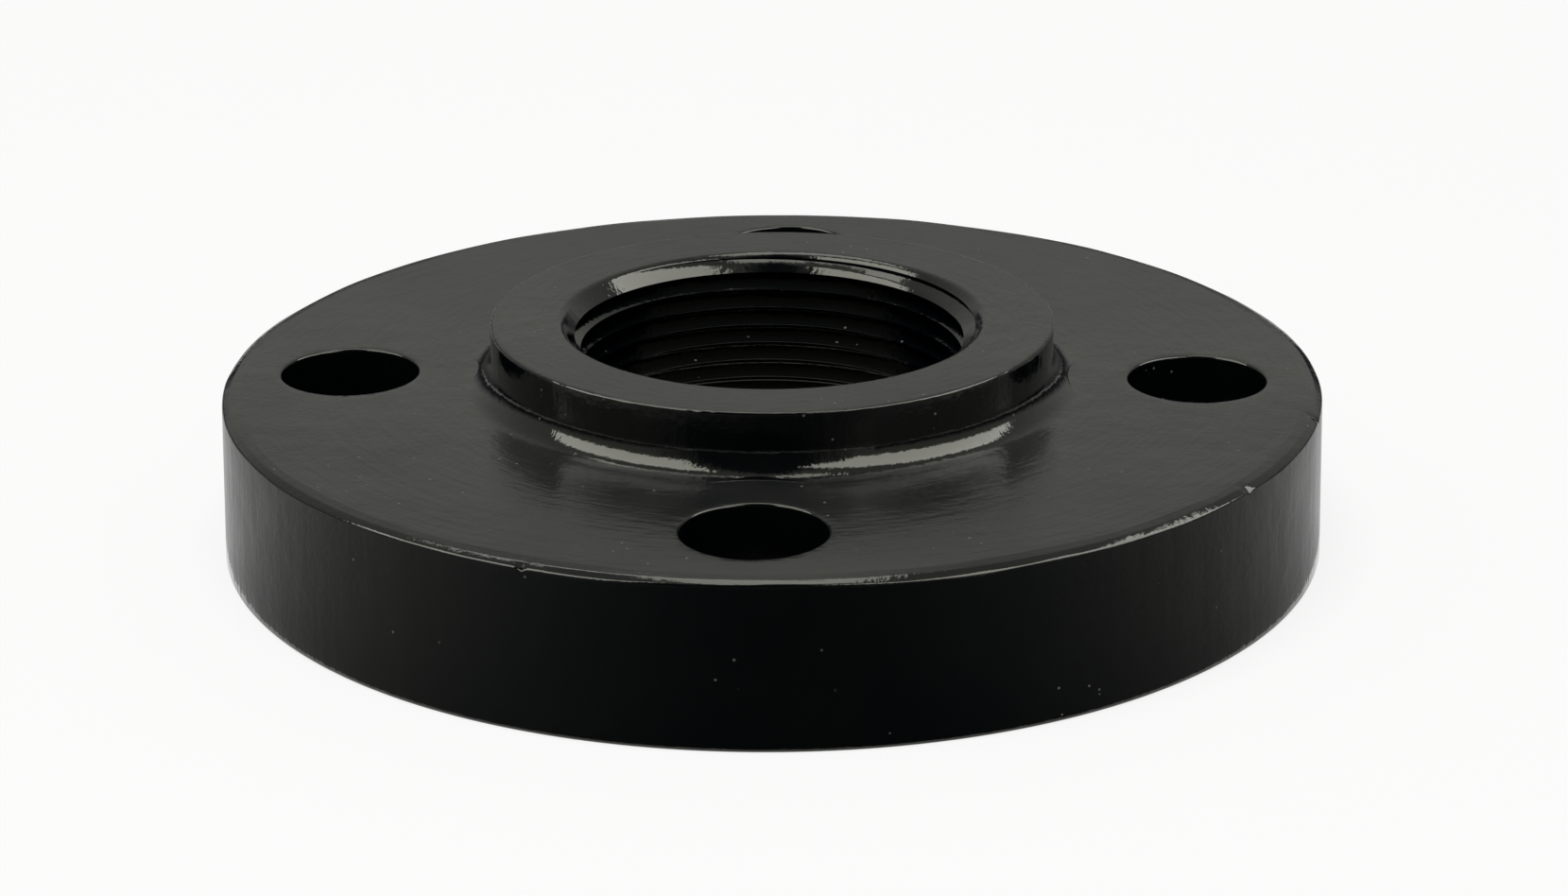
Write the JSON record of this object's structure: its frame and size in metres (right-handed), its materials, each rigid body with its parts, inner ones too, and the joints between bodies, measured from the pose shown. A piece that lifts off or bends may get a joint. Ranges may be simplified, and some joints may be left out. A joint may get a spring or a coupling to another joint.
{
  "type": "threaded pipe flange",
  "caption": "Round forged steel pipe flange with a short threaded hub and a ring of bolt holes, painted black, for joining a screwed pipe to a flanged fitting.",
  "frame": {"origin": "centre of the gasket face, on which the flange rests", "axes": "+Z along the bore from the gasket face to the hub's face; +X and +Y each pass through a bolt hole"},
  "size_m": [0.1278, 0.1278, 0.0262],
  "materials": {
    "black_paint": "semi-gloss black paint on forged steel"
  },
  "bodies": {
    "root": {"threaded_flange": "black_paint"}
  },
  "joints": []
}
